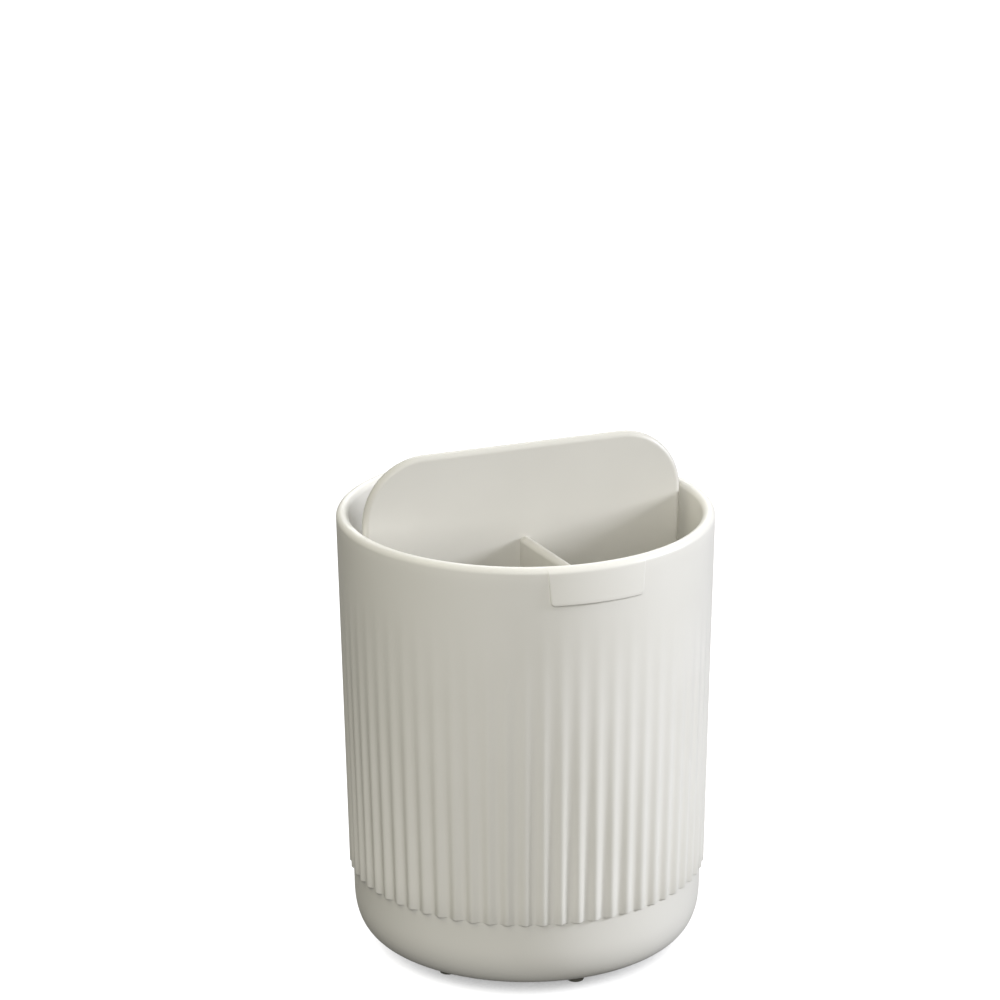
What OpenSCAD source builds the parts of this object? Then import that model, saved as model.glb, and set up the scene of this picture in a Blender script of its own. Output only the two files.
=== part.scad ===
// Toothbrush holder for a bathroom shelf.
// A round tapered cup with fine upright ribs stands on six small soft feet.
// A T-shaped divider stands loose in the cup, parts it in three and lifts straight out.
// Sizes are in millimetres and +Z is up.
// The origin is on the cup's axis, on the surface that the feet stand on.
// The front of the cup, which carries the bare plate under the rim, faces -Y.

/* [Cup] */
// Outside diameter at the widest place of the rim
rim_d = 90; // [76:1:110]
// Height from the underside of the cup to the top of the rim
cup_h = 106.5; // [90:0.5:130]
// Thickness of the wall, which is also the width of the rounded rim
wall_t = 3; // [2.4:0.1:3.8]
// Angle by which the wall leans in towards the underside, in degrees
wall_lean = 1.15; // [0.5:0.05:1.8]
// Thickness of the floor
floor_t = 3.4; // [3:0.1:5]
// Width of the rounded corner between the wall and the underside
corner_w = 8; // [6:0.5:9]
// Height of the rounded corner between the wall and the underside
corner_h = 12; // [9:0.5:14]
// Fullness of the rounded corner, where 2 is an ellipse and more is squarer
corner_fullness = 2.6; // [2:0.1:3.2]
// Radius of the corner inside, between the wall and the floor
inner_corner_r = 6; // [4:0.5:7]

/* [Ribs] */
// Number of ribs round the cup
rib_count = 64; // [56:1:72]
// Height of a rib over the wall at its lower end
rib_depth = 0.95; // [0.6:0.05:1.1]
// Share of the space round the cup that the ribs take up at their lower ends
rib_width_share = 0.68; // [0.6:0.01:0.8]
// Height of the lower ends of the ribs over the underside of the cup
rib_end_h = 17.3; // [15:0.1:24]
// Distance below the top of the rim at which the grooves between the ribs begin
rib_start_drop = 12; // [11:0.5:30]

/* [Plate] */
// Width of the bare plate at its lower edge
plate_w = 23; // [14:0.5:30]
// Distance from the top of the rim down to the lower edge of the plate
plate_h = 9.1; // [6:0.1:10]
// How much wider the plate is on each side at the top of the rim
plate_flare = 0.8; // [0:0.1:2]
// How far the plate stands out of the wall
plate_proud = 0.5; // [0.3:0.1:1]
// Radius of the two lower corners of the plate
plate_corner_r = 0.9; // [0.5:0.1:2]

/* [Divider] */
// Thickness of the divider's walls
divider_t = 2.7; // [2.2:0.1:3.2]
// Height of the divider's main wall over the rim
divider_rise = 15.5; // [10:0.5:22]
// Radius of the main wall's two upper corners
divider_corner_r = 15.5; // [8:0.5:20]
// Radius of the lower corners of the divider's walls
divider_foot_r = 8; // [7.5:0.5:10]
// Gap between the ends of the divider's walls and the inside of the cup
divider_gap = 1.5; // [0.8:0.1:2.5]
// Distance from the cup's axis back to the middle of the main wall
main_wall_back = 1.6; // [-4:0.1:6]
// Distance from the top of the rim down to the cross wall's top edge at the main wall
cross_drop = 7.4; // [4:0.1:20]
// Angle by which the cross wall's top edge climbs towards the front, in degrees
cross_climb = 3; // [0:0.5:4]
// Radius of the cross wall's upper front corner
cross_corner_r = 5; // [3:0.5:10]
// Radius of the two upright fillets between the main wall and the cross wall
junction_fillet_r = 1.6; // [0.8:0.1:3]

/* [Feet] */
// Diameter of the feet
foot_d = 6; // [4.6:0.1:7]
// Height of the feet under the cup
foot_h = 2.9; // [2:0.1:4]
// Radius of the rounded lower edge of a foot
foot_edge_r = 2.2; // [1:0.1:2.2]
// Distance from the outside of the rim in to the middle of a foot
foot_inset = 15.5; // [15.5:0.5:25]
// Diameter of the stem that holds a foot in its socket
stem_d = 3; // [2:0.1:4]
// Length of the stem
stem_l = 1.8; // [1:0.1:1.8]
// Clearance between a stem and its socket, on each side
stem_clearance = 0.05; // [0.02:0.01:0.1]
// Space left over the end of the stem
socket_spare = 0.2; // [0.1:0.05:0.3]

/* [Hidden] */
$fn = 96;

// How far cutting shapes run past what they cut
overrun = rim_d / 45;

// Heights
underside_z = foot_h;
floor_z = underside_z + floor_t;
rim_z = underside_z + cup_h;
lip_r = wall_t / 2;
lip_z = rim_z - lip_r;
corner_z = underside_z + corner_h;
rib_end_z = underside_z + rib_end_h;
rib_start_z = rim_z - rib_start_drop;
divider_top_z = rim_z + divider_rise;
cross_top_z = rim_z - cross_drop;

// Radii of the cup: the crests of the ribs lie on the same leaning line as the smooth wall over them
rim_r = rim_d / 2;
function crest_r(z) = rim_r - tan(wall_lean) * (lip_z - z);
function inner_r(z) = crest_r(z) - wall_t;
function base_r(z) = crest_r(z) - rib_depth;

// Points along a round stretch of an outline, given as [across, up]
arc_steps = 12;
function arc(centre, r, from, to) = [
    for (i = [0 : arc_steps])
        let (a = from + (to - from) * i / arc_steps)
            centre + r * [cos(a), sin(a)]
];

// Points of the cup's lower corner, from the wall down to the underside
corner_steps = 14;
function lower_corner(r) = [
    for (i = [0 : corner_steps])
        let (a = 90 * i / corner_steps)
            [
                r - corner_w + corner_w * pow(cos(a), 2 / corner_fullness),
                corner_z - corner_h * pow(sin(a), 2 / corner_fullness)
            ]
];

// Ribs: each is a leaning bar with a rounded front, sunk in the wall, that sinks away at its upper end
rib_pitch = 2 * PI * crest_r(rib_end_z) / rib_count;
rib_half_w = rib_width_share * rib_pitch / 2;
rib_r = (rib_half_w * rib_half_w + rib_depth * rib_depth) / (2 * rib_depth);
rib_sink = rib_depth / 8;
rib_reach = rib_start_z - rib_end_z;
rib_out = crest_r(rib_start_z) - rib_sink - crest_r(rib_end_z);
rib_tilt = atan(rib_out / rib_reach);
rib_root = rib_depth + (wall_t - rib_depth) / 5;

// Divider: the ends of its walls follow the inside of the cup
divider_edge_r = divider_t / 2;
function divider_reach(z) = inner_r(z) - divider_gap;
main_front_y = main_wall_back - divider_edge_r;
wall_lap = divider_t / 4;
cross_root = -main_wall_back - wall_lap;
cross_front_z = cross_top_z + tan(cross_climb) * (divider_reach(cross_top_z) + main_front_y);
cross_root_z = cross_top_z + tan(cross_climb) * (cross_root + main_front_y);

// Feet, counted from the front foot towards +X
foot_count = 6;
foot_circle_r = rim_r - foot_inset;

// The cup without its ribs, plate and sockets
module cup_shell() {
    rotate_extrude()
        polygon(concat(
            [[0, underside_z]],
            [for (i = [corner_steps : -1 : 0]) lower_corner(base_r(corner_z))[i]],
            [[base_r(rib_end_z), rib_end_z]],
            [[crest_r(rib_start_z), rib_start_z]],
            arc([rim_r - lip_r, lip_z], lip_r, 0, 180),
            arc(
                [inner_r(floor_z + inner_corner_r) - inner_corner_r, floor_z + inner_corner_r],
                inner_corner_r, 0, -90
            ),
            [[0, floor_z]]
        ));
}

module rib_bar() {
    translate([crest_r(rib_end_z) - rib_r / cos(rib_tilt), 0, rib_end_z])
        rotate([0, rib_tilt, 0])
            translate([0, 0, -overrun])
                linear_extrude(height = rib_reach / cos(rib_tilt) + 2 * overrun)
                    polygon(arc([0, 0], rib_r, -90, 90));
}

// The band of the wall that the ribs are allowed to fill
module rib_band() {
    rotate_extrude()
        polygon([
            [crest_r(rib_end_z) - rib_root, rib_end_z],
            [rim_r + overrun, rib_end_z],
            [rim_r + overrun, rib_start_z],
            [crest_r(rib_start_z) - rib_root, rib_start_z]
        ]);
}

module ribs() {
    intersection() {
        for (i = [0 : rib_count - 1])
            rotate([0, 0, -90 + i * 360 / rib_count])
                rib_bar();
        rib_band();
    }
}

// Outline of the plate as seen from the front, with its lower corners rounded
module plate_outline() {
    low_z = rim_z - plate_h;
    top_z = rim_z + overrun;
    flare = atan(plate_flare / plate_h);
    corner_x = plate_w / 2 - plate_corner_r * (1 - sin(flare)) / cos(flare);
    corner_y = low_z + plate_corner_r;
    top_x = plate_w / 2 + (top_z - low_z) * tan(flare);
    polygon(concat(
        arc([-corner_x, corner_y], plate_corner_r, 180 + flare, 270),
        arc([corner_x, corner_y], plate_corner_r, 270, 360 - flare),
        [[top_x, top_z], [-top_x, top_z]]
    ));
}

// A ring of the plate's thickness, whose top rounds over into the rim
module plate_ring() {
    low_z = rim_z - plate_h - overrun;
    top_h = lip_r - plate_proud / 5;
    rotate_extrude()
        polygon(concat(
            [[crest_r(low_z) - lip_r, low_z]],
            [[crest_r(low_z) + plate_proud, low_z]],
            [
                for (i = [0 : arc_steps])
                    let (a = 90 * i / arc_steps)
                        [rim_r - lip_r + (lip_r + plate_proud) * cos(a), lip_z + top_h * sin(a)]
            ]
        ));
}

module plate() {
    intersection() {
        rotate([90, 0, 0])
            linear_extrude(height = rim_r + plate_proud + overrun)
                plate_outline();
        plate_ring();
    }
}

module foot_place(i) {
    rotate([0, 0, -90 + i * 360 / foot_count])
        translate([foot_circle_r, 0, 0])
            children();
}

module socket() {
    translate([0, 0, underside_z - overrun])
        cylinder(d = stem_d + 2 * stem_clearance, h = overrun + stem_l + socket_spare, $fn = 32);
}

module cup() {
    color("#d4d1c8")
        difference() {
            union() {
                cup_shell();
                ribs();
                plate();
            }
            for (i = [0 : foot_count - 1])
                foot_place(i)
                    socket();
        }
}

// Directions in the plane of a panel, and their angles
function unit(v) = v / norm(v);
function outward(from, to) = let (u = unit(to - from)) [u[1], -u[0]];
function heading(v) = atan2(v[1], v[0]);

// Centre of the round corner i of an outline of points p with radii r
function corner_centre(p, r, i) =
    let (a = unit(p[i - 1] - p[i]), b = unit(p[i + 1] - p[i]))
        p[i] + unit(a + b) * r[i] / (norm(a - b) / 2);

// Section of a wall's edge, with the part that is bedded in the wall's core
module edge_section(bed, rounded) {
    e = divider_edge_r;
    tip = rounded ? arc([0, 0], e, -90, 90) : [[e, -e], [e, e]];
    polygon(concat([[-bed, -e]], tip, [[-bed, e]]));
}

// Half of a wall of the divider, along X from its root to the inside of the cup. It stands
// on a flat sole, and its other edges are fully rounded. root_z and end_z are the heights
// of its top at the root and at its outer end.
module half_wall(root, root_z, end_z, top_corner_r) {
    bed = divider_edge_r / 2;
    core_inset = divider_edge_r + bed / 2;
    p = [
        [root, floor_z],
        [divider_reach(floor_z), floor_z],
        [divider_reach(end_z), end_z],
        [root, root_z]
    ];
    r = [0, divider_foot_r, top_corner_r, 0];
    normals = [for (i = [0 : 2]) outward(p[i], p[i + 1])];
    centres = [p[0], corner_centre(p, r, 1), corner_centre(p, r, 2), p[3]];
    headings = [for (v = normals) heading(v)];
    rotate([90, 0, 0]) {
        linear_extrude(height = divider_t, center = true)
            polygon(concat(
                [p[0] - core_inset * normals[0]],
                arc(centres[1], r[1] - core_inset, headings[0], headings[1]),
                arc(centres[2], r[2] - core_inset, headings[1], headings[2]),
                [p[3] - core_inset * normals[2]]
            ));
        for (i = [0 : 2]) {
            start = centres[i] + (r[i] - divider_edge_r) * normals[i];
            end = centres[i + 1] + (r[i + 1] - divider_edge_r) * normals[i];
            translate(start)
                rotate([0, 0, heading(end - start)])
                    rotate([90, 0, 90])
                        mirror([1, 0, 0])
                            linear_extrude(height = norm(end - start))
                                edge_section(bed, i > 0);
        }
        for (i = [1, 2])
            translate(centres[i])
                rotate([0, 0, headings[i - 1]])
                    rotate_extrude(angle = headings[i] - headings[i - 1])
                        translate([r[i] - divider_edge_r, 0])
                            edge_section(bed, true);
    }
}

module main_wall() {
    for (s = [0, 1])
        mirror([s, 0, 0])
            translate([0, main_wall_back, 0])
                half_wall(-wall_lap, divider_top_z, divider_top_z, divider_corner_r);
}

module cross_wall() {
    rotate([0, 0, -90])
        half_wall(cross_root, cross_root_z, cross_front_z, cross_corner_r);
}

// An upright fillet in the corner between the main wall and the cross wall, on the +X side
module junction_fillet() {
    bed = divider_edge_r / 2;
    translate([divider_edge_r, main_front_y, floor_z])
        linear_extrude(height = cross_top_z - divider_edge_r - floor_z)
            polygon(concat(
                [[-bed, -junction_fillet_r]],
                arc([junction_fillet_r, -junction_fillet_r], junction_fillet_r, 180, 90),
                [[junction_fillet_r, bed], [-bed, bed]]
            ));
}

module divider() {
    color("#cfccc2") {
        main_wall();
        cross_wall();
        junction_fillet();
        mirror([1, 0, 0])
            junction_fillet();
    }
}

// A foot in its own place: a round head with a broad rounded edge, and a stem in the cup
module foot(i) {
    color("#6f6d64")
        foot_place(i)
            rotate_extrude($fn = 48)
                polygon(concat(
                    [[0, 0]],
                    arc([foot_d / 2 - foot_edge_r, foot_edge_r], foot_edge_r, -90, 0),
                    [
                        [foot_d / 2, underside_z],
                        [stem_d / 2, underside_z],
                        [stem_d / 2, underside_z + stem_l],
                        [0, underside_z + stem_l]
                    ]
                ));
}

cup();
divider();
foot(0);  // foot_front
foot(1);  // foot_front_right
foot(2);  // foot_rear_right
foot(3);  // foot_rear
foot(4);  // foot_rear_left
foot(5);  // foot_front_left
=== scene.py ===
# %% [markdown]
# # A ribbed toothbrush holder
# The holder is a round moulded cup with fine upright ribs. It stands on six small soft feet,
# and a loose divider inside parts it in three. The CAD model gives its outer sizes and its
# one joint. This lesson builds the finished surfaces over it, the plastic, and a small white
# studio.

import math

import bmesh
import bpy
from mathutils import Matrix, Vector


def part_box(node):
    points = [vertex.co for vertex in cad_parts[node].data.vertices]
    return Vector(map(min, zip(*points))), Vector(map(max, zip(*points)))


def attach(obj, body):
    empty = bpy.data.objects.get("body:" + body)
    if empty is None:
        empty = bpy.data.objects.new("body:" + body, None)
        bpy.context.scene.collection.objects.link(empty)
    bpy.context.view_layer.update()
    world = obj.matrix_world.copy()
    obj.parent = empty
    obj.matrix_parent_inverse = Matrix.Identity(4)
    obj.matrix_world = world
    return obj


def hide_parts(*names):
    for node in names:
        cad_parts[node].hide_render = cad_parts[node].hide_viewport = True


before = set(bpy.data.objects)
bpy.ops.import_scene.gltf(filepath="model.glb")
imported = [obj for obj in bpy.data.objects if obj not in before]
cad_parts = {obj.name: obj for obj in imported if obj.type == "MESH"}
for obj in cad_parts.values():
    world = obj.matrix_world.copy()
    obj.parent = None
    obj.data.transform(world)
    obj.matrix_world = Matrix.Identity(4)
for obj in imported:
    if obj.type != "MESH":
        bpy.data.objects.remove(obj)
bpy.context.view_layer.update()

# %% [markdown]
# ## Sizes
# Blender works in metres, and small products are thought of in millimetres, so one constant
# turns the second into the first. The outer sizes are read from the frame, which keeps the
# finished surfaces on the construction. The finer ones are the mould maker's own.

# %% Sizes of the cup
MM = 0.001
cup_low, cup_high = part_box("cup")
divider_low, divider_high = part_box("divider")
rim_r = cup_high.x
rim_z = cup_high.z
underside_z = cup_low.z
floor_z = divider_low.z
wall_t = 3 * MM
lip_r = wall_t / 2
lip_z = rim_z - lip_r
lean = math.tan(math.radians(1.15))
corner_w = 8 * MM
corner_h = 12 * MM
corner_fullness = 2.6
corner_z = underside_z + corner_h
inner_corner_r = 6 * MM
print(f"Rim {2 * rim_r / MM:.1f} mm across, {rim_z / MM:.1f} mm over the shelf")


def crest_r(z):
    """Radius of the smooth wall, and of the ribs' crests under it."""
    return rim_r - lean * (lip_z - z)


def inner_r(z):
    """Radius of the wall inside."""
    return crest_r(z) - wall_t


# %% [markdown]
# The ribs start faintly under a smooth band, grow deeper on the way down and end a little
# above the rounded lower corner. The fade power says how late they grow: 1 would be a
# straight slope, and more than 1 keeps them faint for longer.

# %% Sizes of the ribs
rib_count = 64
rib_depth = 0.95 * MM
rib_fade_power = 1.35
rib_edge_r = 0.3 * MM
rib_end_z = underside_z + 17.3 * MM
rib_start_z = rim_z - 12 * MM
rib_pitch = math.tau / rib_count
print(f"{rib_count} ribs, {rib_pitch * crest_r(rib_end_z) / MM:.2f} mm apart at their lower ends")

# %% [markdown]
# ## The studio camera
# The holder was photographed from a little above with a long lens. The camera is placed by
# its distance from the middle of the rim and by three turns, and not by the look of the
# render, so that the finished surfaces can be judged against the real ones. A long lens from
# 0.9 m away keeps the cup's sides almost straight.

# %% Camera
camera_turn = math.radians(21.6)
camera_pitch = math.radians(18.15)
camera_roll = math.radians(0.316)
camera_distance = 0.9
aim_right = 6.047 * MM
aim_up = -1.711 * MM
sensor_w = 36
lens = 136.5

level_right = Vector((math.cos(camera_turn), -math.sin(camera_turn), 0))
level_ahead = Vector((math.sin(camera_turn), math.cos(camera_turn), 0))
ahead = level_ahead * math.cos(camera_pitch) - Vector((0, 0, math.sin(camera_pitch)))
above = level_ahead * math.sin(camera_pitch) + Vector((0, 0, math.cos(camera_pitch)))
place = Vector((0, 0, rim_z)) - aim_right * level_right - aim_up * above - camera_distance * ahead
right = level_right * math.cos(camera_roll) - above * math.sin(camera_roll)
up = level_right * math.sin(camera_roll) + above * math.cos(camera_roll)

camera_data = bpy.data.cameras.new("studio_camera")
camera_data.sensor_width = sensor_w
camera_data.lens = lens
camera = bpy.data.objects.new("studio_camera", camera_data)
turn = Matrix((right, up, -ahead)).transposed()
camera.matrix_world = Matrix.Translation(place) @ turn.to_4x4()
bpy.context.scene.collection.objects.link(camera)
bpy.context.scene.camera = camera
print("Camera at", [round(c, 3) for c in place])

# %% [markdown]
# ## Satin moulded plastic
# The cup is a warm light grey plastic with a satin finish. The divider is the same plastic,
# but its colour is made darker as painted shade, for the shade that falls on it inside the cup.
# A plain colour would look like a drawing, so the finish is made of three quiet
# effects: a slow drift of tone from the melt's flow, a fine grain that the mould's
# spark-eroded steel leaves, and small changes of gloss. The three are a node group, because
# the feet use them as well, and the Principled shader stays in each material.

# %% Node helpers


def link_nodes(tree, *pairs):
    """Links each output to its input."""
    for source, target in pairs:
        tree.links.new(source, target)


def noise_node(tree, vector, size, detail):
    """A noise texture whose blotches are about size across, in metres."""
    node = tree.nodes.new("ShaderNodeTexNoise")
    node.inputs["Scale"].default_value = 1 / size
    node.inputs["Detail"].default_value = detail
    tree.links.new(vector, node.inputs["Vector"])
    return node.outputs["Fac"]


def range_node(tree, value, low, high):
    """Spreads the useful middle of a noise, from 0.3 to 0.7, over low to high."""
    node = tree.nodes.new("ShaderNodeMapRange")
    node.inputs["From Min"].default_value = 0.3
    node.inputs["From Max"].default_value = 0.7
    tree.links.new(value, node.inputs["Value"])
    for socket, end in (("To Min", low), ("To Max", high)):
        if isinstance(end, float):
            node.inputs[socket].default_value = end
        else:
            tree.links.new(end, node.inputs[socket])
    return node.outputs["Result"]


def colour_mix(tree, factor, first, second):
    """A mix of two colours, each given as (r, g, b) or as the output of another node."""
    node = tree.nodes.new("ShaderNodeMix")
    node.data_type = "RGBA"
    tree.links.new(factor, node.inputs["Factor"])
    for socket, colour in (("A", first), ("B", second)):
        if isinstance(colour, tuple):
            node.inputs[socket].default_value = (*colour, 1)
        else:
            tree.links.new(colour, node.inputs[socket])
    return node.outputs["Result"]


# %% [markdown]
# The three effects have sizes of their own. The flow of the melt drifts over centimetres,
# the gloss changes over millimetres, and the grain is finer than the eye can count.

# %% The moulded finish as a node group
drift_size = 28 * MM
gloss_size = 5 * MM
grain_size = 0.35 * MM
grain_height = 0.02 * MM

finish_group = bpy.data.node_groups.new("moulded_finish", "ShaderNodeTree")
sockets = (
    ("Light Tone", "INPUT", "NodeSocketColor"),
    ("Deep Tone", "INPUT", "NodeSocketColor"),
    ("Roughness Low", "INPUT", "NodeSocketFloat"),
    ("Roughness High", "INPUT", "NodeSocketFloat"),
    ("Grain", "INPUT", "NodeSocketFloat"),
    ("Color", "OUTPUT", "NodeSocketColor"),
    ("Roughness", "OUTPUT", "NodeSocketFloat"),
    ("Normal", "OUTPUT", "NodeSocketVector"),
)
for socket_name, direction, kind in sockets:
    finish_group.interface.new_socket(socket_name, in_out=direction, socket_type=kind)
entry = finish_group.nodes.new("NodeGroupInput").outputs
leaving = finish_group.nodes.new("NodeGroupOutput").inputs
here = finish_group.nodes.new("ShaderNodeTexCoord").outputs["Object"]

drift = range_node(finish_group, noise_node(finish_group, here, drift_size, 2), 0.0, 1.0)
tone = colour_mix(finish_group, drift, entry["Light Tone"], entry["Deep Tone"])
sheen = noise_node(finish_group, here, gloss_size, 3)
roughness = range_node(finish_group, sheen, entry["Roughness Low"], entry["Roughness High"])
grain = finish_group.nodes.new("ShaderNodeBump")
grain.inputs["Distance"].default_value = grain_height
link_nodes(
    finish_group,
    (noise_node(finish_group, here, grain_size, 2), grain.inputs["Height"]),
    (entry["Grain"], grain.inputs["Strength"]),
    (tone, leaving["Color"]),
    (roughness, leaving["Roughness"]),
    (grain.outputs["Normal"], leaving["Normal"]),
)
print("Finish group:", [s.name for s in finish_group.interface.items_tree])

# %% [markdown]
# A material then only says its two tones, its range of roughness and how strong its grain is.
# Roughness near 0.4 gives the broad soft highlights of satin plastic. The feet are a dark
# dull rubber, so their roughness is high and their grain is stronger.

# %% Materials


def moulded_material(name, light, deep, roughness_range, grain_strength):
    """A material with the moulded finish, between a light and a deep tone."""
    material = bpy.data.materials.new(name)
    material.use_nodes = True
    tree = material.node_tree
    shader = tree.nodes["Principled BSDF"]
    group = tree.nodes.new("ShaderNodeGroup")
    group.node_tree = finish_group
    group.inputs["Light Tone"].default_value = (*light, 1)
    group.inputs["Deep Tone"].default_value = (*deep, 1)
    group.inputs["Roughness Low"].default_value = roughness_range[0]
    group.inputs["Roughness High"].default_value = roughness_range[1]
    group.inputs["Grain"].default_value = grain_strength
    link_nodes(
        tree,
        (group.outputs["Color"], shader.inputs["Base Color"]),
        (group.outputs["Roughness"], shader.inputs["Roughness"]),
        (group.outputs["Normal"], shader.inputs["Normal"]),
    )
    return material


cup_plastic = moulded_material(
    "satin_stone_plastic",
    light=(0.79, 0.775, 0.725),
    deep=(0.76, 0.745, 0.69),
    roughness_range=(0.36, 0.46),
    grain_strength=0.35,
)
# Painted shade: the divider's two tones are the cup's plastic made darker, for the shade that falls
# on it inside the cup.
painted_shade_divider_plastic = moulded_material(
    "satin_divider_plastic_painted_shade",
    light=(0.64, 0.625, 0.575),
    deep=(0.615, 0.6, 0.55),
    roughness_range=(0.38, 0.48),
    grain_strength=0.35,
)
foot_rubber = moulded_material(
    "dull_foot_rubber",
    light=(0.16, 0.155, 0.13),
    deep=(0.13, 0.125, 0.105),
    roughness_range=(0.7, 0.85),
    grain_strength=0.8,
)
print("Materials:", cup_plastic.name, painted_shade_divider_plastic.name, foot_rubber.name)

# %% [markdown]
# ## Turned shapes
# The cup and the feet are round, so both start as a profile: a line of points, each given by
# its distance from the axis and its height. Spinning the line about the axis makes the
# surface. Points on the axis are spun into many in one place, so doubles are merged after it.

# %% Helpers for profiles
merge_gap = 0.001 * MM


def arc_points(across, up_to, radius, first, last, steps):
    """Points of an arc in a profile, given as (distance from the axis, height)."""
    turns = [math.radians(first + (last - first) * i / steps) for i in range(steps + 1)]
    return [(across + radius * math.cos(a), up_to + radius * math.sin(a)) for a in turns]


def spaced(first, last, steps):
    """Evenly spaced values from first to last, without first."""
    return [first + (last - first) * i / steps for i in range(1, steps + 1)]


def spin_about_axis(bm, geom, turn, steps, as_copies=False):
    """Spins about the holder's axis, into a surface or as separate copies."""
    bmesh.ops.spin(
        bm,
        geom=geom,
        cent=(0, 0, 0),
        axis=(0, 0, 1),
        angle=turn,
        steps=steps,
        use_merge=math.isclose(turn, math.tau),
        use_duplicate=as_copies,
    )


def spin_profile(bm, profile, turn, steps):
    """Turns a profile about the holder's axis, starting at the front."""
    verts = [bm.verts.new((0, -r, z)) for r, z in profile]
    edges = [bm.edges.new(pair) for pair in zip(verts, verts[1:])]
    spin_about_axis(bm, verts + edges, turn, steps)
    bmesh.ops.remove_doubles(bm, verts=bm.verts, dist=merge_gap)


# %% [markdown]
# ## From a bmesh to a piece
# Every finished surface goes through the same last step: its normals are made to point
# outwards, it becomes an object at the origin with its place in its mesh, it gets its
# material, and it rides on its body of the frame. Edges sharper than a limit stay crisp
# while the rest are shaded smooth.

# %% Helpers for pieces


def object_from(bm, name):
    """An object at the origin with the mesh of the bmesh, which is used up."""
    mesh = bpy.data.meshes.new(name)
    bm.to_mesh(mesh)
    bm.free()
    made = bpy.data.objects.new(name, mesh)
    bpy.context.scene.collection.objects.link(made)
    return made


def finish_piece(bm, name, material, body, replaced=(), sharp_over=35):
    """Makes the bmesh a piece. Edges over sharp_over degrees stay crisp."""
    bmesh.ops.recalc_face_normals(bm, faces=bm.faces)
    for face in bm.faces:
        face.smooth = True
    piece = object_from(bm, name)
    piece.data.materials.append(material)
    piece.data.set_sharp_from_angle(angle=math.radians(sharp_over))
    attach(piece, body)
    if replaced:
        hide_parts(*replaced)
    print(f"{name}: {len(piece.data.polygons)} faces on {body}")
    return piece


# %% [markdown]
# ## The cup
# The real cup is one thin-walled moulding, so its profile is drawn as one line: from
# the middle of the underside, round the lower corner, up the wall, over the lip and down the
# inside to the middle of the floor. Spinning that line gives the whole shell at once. The
# lower corner is fuller than an ellipse, so it follows a superellipse.

# %% Profile of the cup


def valley_r(z):
    """Radius of the wall between the ribs, which recedes from the crests on the way down."""
    fade = min(1, max(0, (rib_start_z - z) / (rib_start_z - rib_end_z)))
    return crest_r(z) - rib_depth * fade**rib_fade_power


def lower_corner(steps):
    """Points of the superellipse from the flat underside up to the wall."""
    points = []
    for i in range(steps + 1):
        a = math.radians(90 - 90 * i / steps)
        across = valley_r(corner_z) - corner_w + corner_w * math.cos(a) ** (2 / corner_fullness)
        points.append((across, corner_z - corner_h * math.sin(a) ** (2 / corner_fullness)))
    return points


corner_steps = 16
fade_steps = 16
lip_steps = 14
inner_corner_steps = 9
under_ribs_z = rib_end_z - 0.02 * MM
over_edge_z = rib_end_z + rib_edge_r
inner_foot_z = floor_z + inner_corner_r
inner_corner_middle = inner_r(inner_foot_z) - inner_corner_r
underside_r = valley_r(corner_z) - corner_w

cup_profile = [(0, underside_z)]
cup_profile += [(r, underside_z) for r in spaced(0, underside_r, 3)[:-1]]
cup_profile += lower_corner(corner_steps)
cup_profile += [(valley_r(z), z) for z in spaced(corner_z, under_ribs_z, 3)]
for degrees in (0, 30, 60, 90):
    z = rib_end_z + rib_edge_r * (1 - math.cos(math.radians(degrees)))
    cup_profile.append((valley_r(z), z))
cup_profile += [(valley_r(z), z) for z in spaced(over_edge_z, rib_start_z, fade_steps)]
cup_profile += [(crest_r(z), z) for z in spaced(rib_start_z, lip_z, 4)[:-1]]
cup_profile += arc_points(rim_r - lip_r, lip_z, lip_r, 0, 180, lip_steps)
cup_profile += [(inner_r(z), z) for z in spaced(lip_z, inner_foot_z, 6)[:-1]]
cup_profile += arc_points(
    inner_corner_middle, inner_foot_z, inner_corner_r, 0, -90, inner_corner_steps
)
cup_profile += [(0, floor_z)]
print(f"The cup's profile has {len(cup_profile)} points")

# %% [markdown]
# The ribs stand on that wall. Each could be its own bar, but the real ones flow into the wall
# like a soft wave, so the wall itself is moved. One slice of the cup, as wide as a rib and
# its valley, is spun in sixteen steps. Its points are then moved out by the wave. The crests
# carry on the smooth band under the rim while the wall between them recedes, which makes the
# ribs fade in. At their lower ends they stop short with a small rounded edge.

# %% One slice of the cup
columns_per_rib = 16
rib_sharpness = 1.15


def rib_height(turn, z):
    """Height of the wave over the wall, at a turn about the axis away from a crest."""
    wave = ((1 + math.cos(math.tau * turn / rib_pitch)) / 2) ** rib_sharpness
    height = (crest_r(z) - valley_r(z)) * wave
    into_edge = max(0, rib_edge_r - (z - rib_end_z))
    return max(0, height - rib_edge_r + math.sqrt(rib_edge_r**2 - into_edge**2))


def raise_ribs(bm):
    """Moves the outer points of the wall out by the height of the wave."""
    for vert in bm.verts:
        x, y, z = vert.co
        r = math.hypot(x, y)
        if r > crest_r(z) - wall_t / 2 and rib_end_z - merge_gap <= z <= rib_start_z:
            grown = 1 + rib_height(math.atan2(x, -y), max(z, rib_end_z)) / r
            vert.co = (x * grown, y * grown, z)


cup_bm = bmesh.new()
spin_profile(cup_bm, cup_profile, rib_pitch, columns_per_rib)
raise_ribs(cup_bm)
print(f"One slice: {len(cup_bm.faces)} faces")

# %% [markdown]
# The slice is then copied round the axis, once for each rib, and the seams between the
# copies are merged. That keeps all the ribs exactly alike, as one cutter makes them in the
# steel of the mould.

# %% Copy the slice round
slice_geom = cup_bm.verts[:] + cup_bm.edges[:] + cup_bm.faces[:]
spin_about_axis(cup_bm, slice_geom, math.tau - rib_pitch, rib_count - 1, as_copies=True)
bmesh.ops.remove_doubles(cup_bm, verts=cup_bm.verts, dist=merge_gap)
finish_piece(cup_bm, "ribbed_cup", cup_plastic, "holder", ["cup"])

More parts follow.
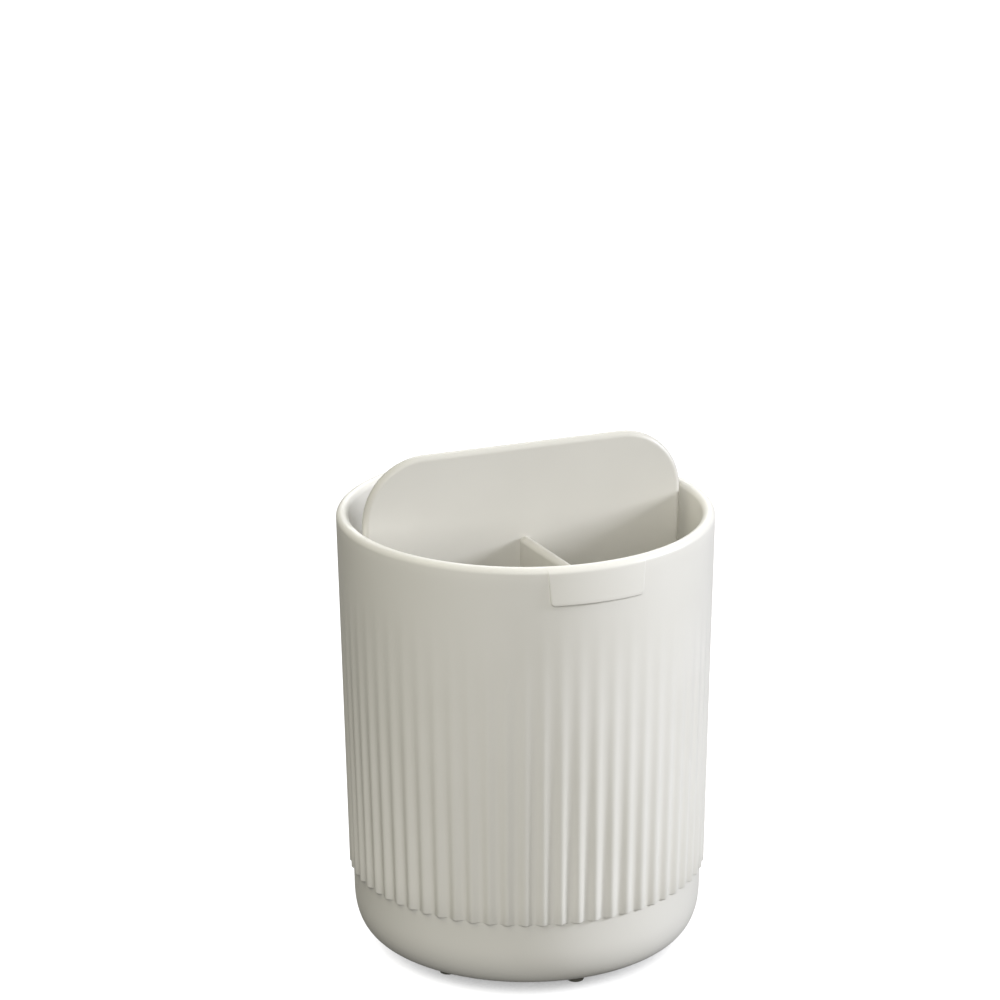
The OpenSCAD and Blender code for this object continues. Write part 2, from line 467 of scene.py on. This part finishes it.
# %% [markdown]
# ## The plate under the rim
# At the front the mould leaves a thin raised plate, which runs up into the rim. It is bare.
# It is easiest to make flat, as a sheet metal worker would: an outline with two rounded
# corners, given a thickness and a soft edge. It is then cut in strips so that it can bend,
# and wrapped round the cup. It stands out most at its lower edge and leans back from there,
# which catches the light. Near the top it follows the lip and sinks into it, so no step is
# left there.

# %% Sizes of the plate
plate_w = 23 * MM
plate_h = 9.1 * MM
plate_flare = 0.8 * MM
plate_proud = 0.5 * MM
plate_corner_r = 0.9 * MM
plate_edge_r = 0.3 * MM
plate_root = 0.6 * MM
plate_low_share = 1.2
plate_lip_share = 0.3
plate_bend = math.radians(55)
plate_low = rim_z - plate_h
plate_top = lip_z + lip_r * plate_bend
print(f"Plate: {plate_w / MM:.0f} mm wide, {plate_h / MM:.1f} mm high")

# %% [markdown]
# The outline is one face. Its two lower corners are rounded first, while they are still flat,
# and only then is the face extruded to its thickness. The edges of its front are bevelled
# last, all but the top one, which ends up inside the lip.

# %% Flat plate
a_hair = 0.1 * MM
plate_corner_steps = 6
plate_edge_steps = 4


def bevel_all(bm, geom, size, segments, affect):
    """Bevels all of these corners or edges alike."""
    bmesh.ops.bevel(
        bm,
        geom=geom,
        offset=size,
        offset_type="OFFSET",
        segments=segments,
        profile=0.5,
        affect=affect,
        clamp_overlap=True,
        material=-1,
    )


def flat_plate():
    """The plate before it is bent, with its front towards +Y and its top towards +Z."""
    bm = bmesh.new()
    half = plate_w / 2
    wide = half + plate_flare * (plate_top - plate_low) / plate_h
    outline = ((-half, plate_low), (half, plate_low), (wide, plate_top), (-wide, plate_top))
    face = bm.faces.new([bm.verts.new((x, -plate_root, t)) for x, t in outline])
    lower = [v for v in face.verts if v.co.z < plate_low + a_hair]
    bevel_all(bm, lower, plate_corner_r, plate_corner_steps, "VERTICES")
    raised = bmesh.ops.extrude_face_region(bm, geom=bm.faces[:])["geom"]
    front = [v for v in raised if isinstance(v, bmesh.types.BMVert)]
    bmesh.ops.translate(bm, verts=front, vec=(0, plate_root + plate_proud, 0))
    soft = [e for e in bm.edges if min(v.co.y for v in e.verts) > 0]
    soft = [e for e in soft if min(v.co.z for v in e.verts) < plate_top - a_hair]
    bevel_all(bm, soft, plate_edge_r, plate_edge_steps, "EDGES")
    return bm


plate_bm = flat_plate()
print(f"Flat plate: {len(plate_bm.faces)} faces")

# %% [markdown]
# A flat face can't bend, so bisect_plane cuts the plate across in both directions, finely
# where it has to follow the small radius of the lip. Each point is then moved by a rule: its
# way across becomes an angle round the cup, its height goes up the wall and on over the lip,
# and its distance from the wall shrinks to nothing on the way.

# %% Wrap it on the wall
plate_strips = 40
rows_on_wall = 8
rows_on_lip = 8


def cut_strips(bm):
    """Cuts the plate across so that it can bend round the cup and over the lip."""
    widest = plate_w / 2 + plate_flare
    upright_cuts = [((x, 0, 0), (1, 0, 0)) for x in spaced(-widest, widest, plate_strips)[:-1]]
    level_cuts = [((0, 0, z), (0, 0, 1)) for z in spaced(plate_low, lip_z, rows_on_wall)]
    level_cuts += [((0, 0, z), (0, 0, 1)) for z in spaced(lip_z, plate_top, rows_on_lip)[:-1]]
    for point, across in upright_cuts + level_cuts:
        geom = bm.verts[:] + bm.edges[:] + bm.faces[:]
        bmesh.ops.bisect_plane(bm, geom=geom, plane_co=point, plane_no=across)


def wrap_on_wall(bm):
    """Bends a flat sheet on to the wall. Its x runs round the cup, its z up the wall and
    over the lip, and its y outwards."""
    for vert in bm.verts:
        x, out, t = vert.co
        bend = max(0, (t - lip_z) / lip_r)
        fade = max(0, 1 - bend / plate_bend)
        up_share = min(1, (t - plate_low) / (lip_z - plate_low))
        share = plate_low_share + (plate_lip_share - plate_low_share) * up_share
        out = out * share * fade * fade * (3 - 2 * fade) if out > 0 else out
        wall = crest_r(min(t, lip_z)) - lip_r
        r = wall + (lip_r + out) * math.cos(bend)
        z = min(t, lip_z) + (lip_r + out) * math.sin(bend)
        angle = x / crest_r(min(t, lip_z))
        vert.co = (r * math.sin(angle), -r * math.cos(angle), z)


cut_strips(plate_bm)
wrap_on_wall(plate_bm)
finish_piece(plate_bm, "front_plate", cup_plastic, "holder", sharp_over=50)

# %% [markdown]
# ## The divider
# The divider is a second moulding, a long wall with a short one square to it, so it is a T
# from above. It stands loose on the floor of the cup and lifts straight out. Its edges are
# fully round, all but the flat sole that it stands on. Each wall is made as a flat outline
# with rounded corners that is given its thickness and then bevelled by half of that
# thickness. It is built a little too long and cut off at the floor, which leaves the sole.

# %% Sizes of the divider
divider_t = 2.7 * MM
divider_edge_r = divider_t / 2
divider_gap = 1.5 * MM
divider_top_z = divider_high.z
divider_back = 1.6 * MM
main_corner_r = 15.5 * MM
foot_corner_r = 8 * MM
cross_corner_r = 5 * MM
cross_z = rim_z - 7.4 * MM
cross_climb = math.tan(math.radians(3))
fillet_r = 1.6 * MM


def divider_reach(z):
    """How far out the divider goes, a small gap short of the wall."""
    return inner_r(z) - divider_gap


print(f"Divider: {divider_t / MM:.1f} mm thick, {(divider_top_z - rim_z) / MM:.1f} mm over the rim")

# %% [markdown]
# Both walls are made by one helper. It rounds the corners of the outline, extrudes it,
# bevels the long edges until they are fully round, and cuts it off at the floor. The bevels
# stop a hair short of the middle, because two that meet there would leave faces of no width.

# %% One flat wall
wall_corner_steps = 14
wall_edge_steps = 6
wall_edge_share = 0.998


def corner_offset(radius, point, before, after):
    """How far from a corner its rounding starts, for a rounding of that radius."""
    half = (before - point).angle(after - point) / 2
    return radius / math.tan(half)


def flat_wall(outline, radii, thickness_axis, straight):
    """A wall of the divider from the corners of its outline. The edges for which straight
    is true stay square."""
    bm = bmesh.new()
    corners = [Vector(p) for p in outline]
    face = bm.faces.new([bm.verts.new(p) for p in corners])
    for i, radius in enumerate(radii):
        if radius:
            vert = min(bm.verts, key=lambda v: (v.co - corners[i]).length)
            offset = corner_offset(radius, corners[i], corners[i - 1], corners[(i + 1) % 4])
            bevel_all(bm, [vert], offset, wall_corner_steps, "VERTICES")
    raised = bmesh.ops.extrude_face_region(bm, geom=bm.faces[:])["geom"]
    far_side = [v for v in raised if isinstance(v, bmesh.types.BMVert)]
    bmesh.ops.translate(bm, verts=far_side, vec=thickness_axis * divider_t)
    bmesh.ops.translate(bm, verts=bm.verts, vec=-thickness_axis * divider_edge_r)
    bmesh.ops.recalc_face_normals(bm, faces=bm.faces)
    round_edges = []
    for edge in bm.edges:
        along = (edge.verts[0].co - edge.verts[1].co).normalized()
        if abs(along.dot(thickness_axis)) < 0.5 and not straight(edge):
            round_edges.append(edge)
    bevel_all(bm, round_edges, divider_edge_r * wall_edge_share, wall_edge_steps, "EDGES")
    geom = bm.verts[:] + bm.edges[:] + bm.faces[:]
    cut = bmesh.ops.bisect_plane(
        bm, geom=geom, plane_co=(0, 0, floor_z), plane_no=(0, 0, 1), clear_inner=True
    )
    sole = [e for e in cut["geom_cut"] if isinstance(e, bmesh.types.BMEdge)]
    bmesh.ops.holes_fill(bm, edges=sole, sides=0)
    return bm


under_z = floor_z - 2 * divider_edge_r
print(f"The walls start {(floor_z - under_z) / MM:.1f} mm under the floor and are cut off at it")

# %% [markdown]
# The main wall is the long one. Its ends lean with the wall of the cup, and it rises over the
# rim with two large round corners, by which it is lifted out.

# %% Main wall
main_ends = [(divider_reach(under_z), under_z), (divider_reach(divider_top_z), divider_top_z)]
main_outline = [
    (-main_ends[0][0], divider_back, under_z),
    (main_ends[0][0], divider_back, under_z),
    (main_ends[1][0], divider_back, divider_top_z),
    (-main_ends[1][0], divider_back, divider_top_z),
]
main_radii = (foot_corner_r, foot_corner_r, main_corner_r, main_corner_r)
main_bm = flat_wall(main_outline, main_radii, Vector((0, 1, 0)), lambda e: False)
print(f"Main wall: {len(main_bm.faces)} faces")

# %% [markdown]
# The cross wall is shorter and lower, and its top climbs a little towards the front. It runs
# into the middle of the main wall, so its edge there stays square and is hidden inside.

# %% Cross wall
cross_end_z = cross_z + cross_climb * divider_reach(cross_z)
cross_outline = [
    (0, divider_back, under_z),
    (0, -divider_reach(under_z), under_z),
    (0, -divider_reach(cross_end_z), cross_end_z),
    (0, divider_back, cross_z - cross_climb * divider_back),
]
cross_radii = (0, foot_corner_r, cross_corner_r, 0)
cross_bm = flat_wall(
    cross_outline,
    cross_radii,
    Vector((1, 0, 0)),
    lambda e: all(v.co.y > divider_back - a_hair for v in e.verts),
)
print(f"Cross wall: {len(cross_bm.faces)} faces")

# %% [markdown]
# The two walls are one moulding, so their meshes are joined by a union. A Boolean modifier
# works on objects, so each wall is an object for a moment, and both are removed again.

# %% Join the walls
union_merge_gap = 0.002 * MM


def union(first, second):
    """One bmesh of both meshes. The two temporary objects are removed."""
    join = first.modifiers.new("join", "BOOLEAN")
    join.operation = "UNION"
    join.solver = "EXACT"
    join.object = second
    evaluated = first.evaluated_get(bpy.context.evaluated_depsgraph_get())
    bm = bmesh.new()
    bm.from_mesh(evaluated.to_mesh())
    for piece in (first, second):
        bpy.data.meshes.remove(piece.data)
    return bm


divider_bm = union(object_from(main_bm, "main_wall"), object_from(cross_bm, "cross_wall"))
bmesh.ops.remove_doubles(divider_bm, verts=divider_bm.verts, dist=union_merge_gap)
print(f"Joined walls: {len(divider_bm.faces)} faces")

# %% [markdown]
# The union leaves a sharp line where the walls meet, but moulded walls meet in a soft fillet.
# Bevelling that line with a few segments lays it in, up one side, over the rounded top of
# the cross wall and down the other side. The weighted normals keep the broad flats looking
# flat next to the small round edges.

# %% Lay in the fillet
main_front_y = divider_back - divider_edge_r
junction_gap = 0.02 * MM
junction_angle = 0.5
fillet_steps = 5


def in_junction(vert):
    """True for a point on the main wall's front face where the cross wall meets it."""
    on_main_wall = abs(vert.co.y - main_front_y) < junction_gap
    on_cross_wall = abs(vert.co.x) < divider_edge_r + junction_gap
    return on_main_wall and on_cross_wall and vert.co.z < cross_z + MM


junction = [e for e in divider_bm.edges if all(in_junction(v) for v in e.verts)]
junction = [e for e in junction if len(e.link_faces) == 2]
junction = [e for e in junction if e.calc_face_angle() > junction_angle]
print(f"Junction: {len(junction)} edges")
bevel_all(divider_bm, junction, fillet_r, fillet_steps, "EDGES")
# The divider's material carries painted shade: darker tones for the shade inside the cup.
divider = finish_piece(
    divider_bm, "t_divider", painted_shade_divider_plastic, "lift_out_divider", ["divider"]
)
flats = divider.modifiers.new("flat_walls", "WEIGHTED_NORMAL")
flats.keep_sharp = True
flats.weight = 80

# %% [markdown]
# ## The feet
# Six small soft feet keep the cup off the shelf. The construction has a broad foot in each
# place. The part that shows is the narrower tread at its outer side, which peeps out from
# under the cup. It widens a little upwards, as a moulded rubber stud does. One profile is
# spun on the holder's axis and moved out to its place, so all six are alike.

# %% Feet
foot_names = [
    "foot_front",
    "foot_front_right",
    "foot_rear_right",
    "foot_rear",
    "foot_rear_left",
    "foot_front_left",
]
tread_r = 2 * MM
tread_edge_r = 0.25 * MM
tread_top_r = 2.25 * MM
tread_outwards = 0.6 * MM
tread_steps = 40
tread_edge_steps = 5


def foot_mesh(node):
    """The tread of one foot, placed by the box of its node in the construction."""
    low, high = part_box(node)
    middle = (low + high) / 2
    reach = middle.xy.length + (high.x - low.x) / 2 - tread_top_r + tread_outwards
    bm = bmesh.new()
    profile = [(0, 0)]
    edge_middle = tread_r - tread_edge_r
    profile += arc_points(edge_middle, tread_edge_r, tread_edge_r, -90, 0, tread_edge_steps)
    profile += [(tread_top_r, underside_z), (0, underside_z)]
    spin_profile(bm, profile, math.tau, tread_steps)
    outwards = middle.xy.normalized() * reach
    bmesh.ops.translate(bm, verts=bm.verts, vec=(outwards.x, outwards.y, 0))
    return bm


for node in foot_names:
    finish_piece(foot_mesh(node), node + "_pad", foot_rubber, "holder", [node])

# %% [markdown]
# ## Floor and light
# The holder stands in a plain white studio. The floor looks white to the camera, because it
# glows for camera rays. It throws little light back on the holder, so the underside stays in
# shade, and reflections see it at a fifth. Where the cup stands close over the floor, Ambient
# Occlusion takes the glow down, and that leaves the soft shade of a thing that stands there.

# %% Floor
floor_half = 6
floor_bm = bmesh.new()
bmesh.ops.create_grid(floor_bm, x_segments=8, y_segments=8, size=floor_half)
floor = object_from(floor_bm, "studio_floor")
print("Floor", floor.dimensions.x, "m wide")

# %% [markdown]
# The floor's material first asks Light Path which kind of ray has met it. Camera rays and
# rays that come through something clear count in full, and reflections at their share. The
# greatest of the three then mixes the base colour and scales the glow.

# %% Who sees the floor
floor_material = bpy.data.materials.new("studio_white")
floor_material.use_nodes = True
floor_tree = floor_material.node_tree


def math_node(tree, operation, first, second):
    """A Math node. Each value is a number or the output of another node."""
    node = tree.nodes.new("ShaderNodeMath")
    node.operation = operation
    for socket, value in zip(node.inputs, (first, second)):
        if isinstance(value, float):
            socket.default_value = value
        else:
            tree.links.new(value, socket)
    return node.outputs["Value"]


gloss_share = 0.2
floor_path = floor_tree.nodes.new("ShaderNodeLightPath").outputs
in_gloss = math_node(floor_tree, "MULTIPLY", floor_path["Is Glossy Ray"], gloss_share)
seen_or_reflected = math_node(floor_tree, "MAXIMUM", floor_path["Is Camera Ray"], in_gloss)
seen_at_all = math_node(
    floor_tree, "MAXIMUM", seen_or_reflected, floor_path["Is Transmission Ray"]
)
print("Reflections see the floor at", gloss_share)

# %% [markdown]
# Ambient Occlusion measures how much of the sky above a point of the floor is free, within a
# short distance. A smooth step then makes the shade of it: deepest where next to nothing is
# free, and gone where a third is.

# %% Glow and contact shade
shade_distance = 16 * MM
free_enough = 0.32
deepest_shade = 0.25
unseen_tone = (0.08, 0.078, 0.07)
seen_tone = (0.25, 0.25, 0.25)

closeness = floor_tree.nodes.new("ShaderNodeAmbientOcclusion")
closeness.samples = 8
closeness.inputs["Distance"].default_value = shade_distance
contact = floor_tree.nodes.new("ShaderNodeMapRange")
contact.interpolation_type = "SMOOTHSTEP"
contact.inputs["From Max"].default_value = free_enough
contact.inputs["To Min"].default_value = deepest_shade
floor_tree.links.new(closeness.outputs["AO"], contact.inputs["Value"])
glow = math_node(floor_tree, "MULTIPLY", contact.outputs["Result"], seen_at_all)
floor_tone = colour_mix(floor_tree, seen_at_all, unseen_tone, seen_tone)

floor_shader = floor_tree.nodes["Principled BSDF"]
floor_shader.inputs["Roughness"].default_value = 1
floor_shader.inputs["Specular IOR Level"].default_value = 0
floor_shader.inputs["Emission Color"].default_value = (1, 1, 1, 1)
link_nodes(
    floor_tree,
    (floor_tone, floor_shader.inputs["Base Color"]),
    (glow, floor_shader.inputs["Emission Strength"]),
)
floor.data.materials.append(floor_material)
print(f"The shade is measured over {shade_distance / MM:.0f} mm")

# %% [markdown]
# The backdrop is the world. It is white to the camera, and through anything clear. To
# reflections it is a soft grey, which suits satin plastic, and on the rest it sheds only a
# faint warm light, which keeps the shaded side from going dead.

# %% World
faint_light = (0.06, 0.056, 0.046)
soft_grey = (0.22, 0.215, 0.19)
white = (1, 1, 1)

world = bpy.data.worlds.new("studio_world")
bpy.context.scene.world = world
world.use_nodes = True
world_tree = world.node_tree
path = world_tree.nodes.new("ShaderNodeLightPath").outputs
reflected = colour_mix(world_tree, path["Is Glossy Ray"], faint_light, soft_grey)
seen = math_node(world_tree, "MAXIMUM", path["Is Camera Ray"], path["Is Transmission Ray"])
backdrop = colour_mix(world_tree, seen, reflected, white)
world_tree.links.new(backdrop, world_tree.nodes["Background"].inputs["Color"])
print("World:", world.name)

# %% [markdown]
# Five lamps do the work. A fairly small one at the right draws the ribs with crisp shades. A
# broad one over the camera fills them, and a warmer one opens up the shaded left side. One
# behind lights the back and draws the rim, and a weak one overhead lights the inside. Each
# has its angle from the camera's side and its height in degrees, its distance and size in
# metres, and its power in watts.

# %% Lamps


def soft_lamp(name, turn_right, height, distance, size, power, colour):
    """A square lamp aimed at the cup."""
    turn = math.radians(turn_right)
    climb = math.radians(height)
    side = math.sin(turn) * level_right - math.cos(turn) * level_ahead
    away = side * math.cos(climb) + Vector((0, 0, math.sin(climb)))
    data = bpy.data.lights.new(name, "AREA")
    data.size = size
    data.energy = power
    data.color = colour
    lamp = bpy.data.objects.new(name, data)
    lamp.location = away * distance + Vector((0, 0, rim_z / 2))
    lamp.rotation_euler = away.to_track_quat("Z", "Y").to_euler()
    bpy.context.scene.collection.objects.link(lamp)
    print(f"{name}: {power} W at {[round(c, 2) for c in lamp.location]}")


cool = (0.91, 0.93, 1)
neutral = (1, 0.997, 0.98)
warm = (1, 0.97, 0.8)
daylight = (0.95, 0.97, 1)
soft_lamp("key_lamp", turn_right=90, height=19, distance=1.2, size=0.3, power=13.9, colour=cool)
soft_lamp("front_lamp", turn_right=0, height=25, distance=1.6, size=1.2, power=16.2, colour=neutral)
soft_lamp("left_lamp", turn_right=-70, height=55, distance=1.5, size=1, power=6.8, colour=warm)
soft_lamp("rear_lamp", turn_right=180, height=38, distance=1.4, size=1, power=10, colour=daylight)
soft_lamp("top_lamp", turn_right=0, height=89, distance=1.2, size=0.9, power=3, colour=daylight)
bpy.context.scene.view_settings.view_transform = "Standard"
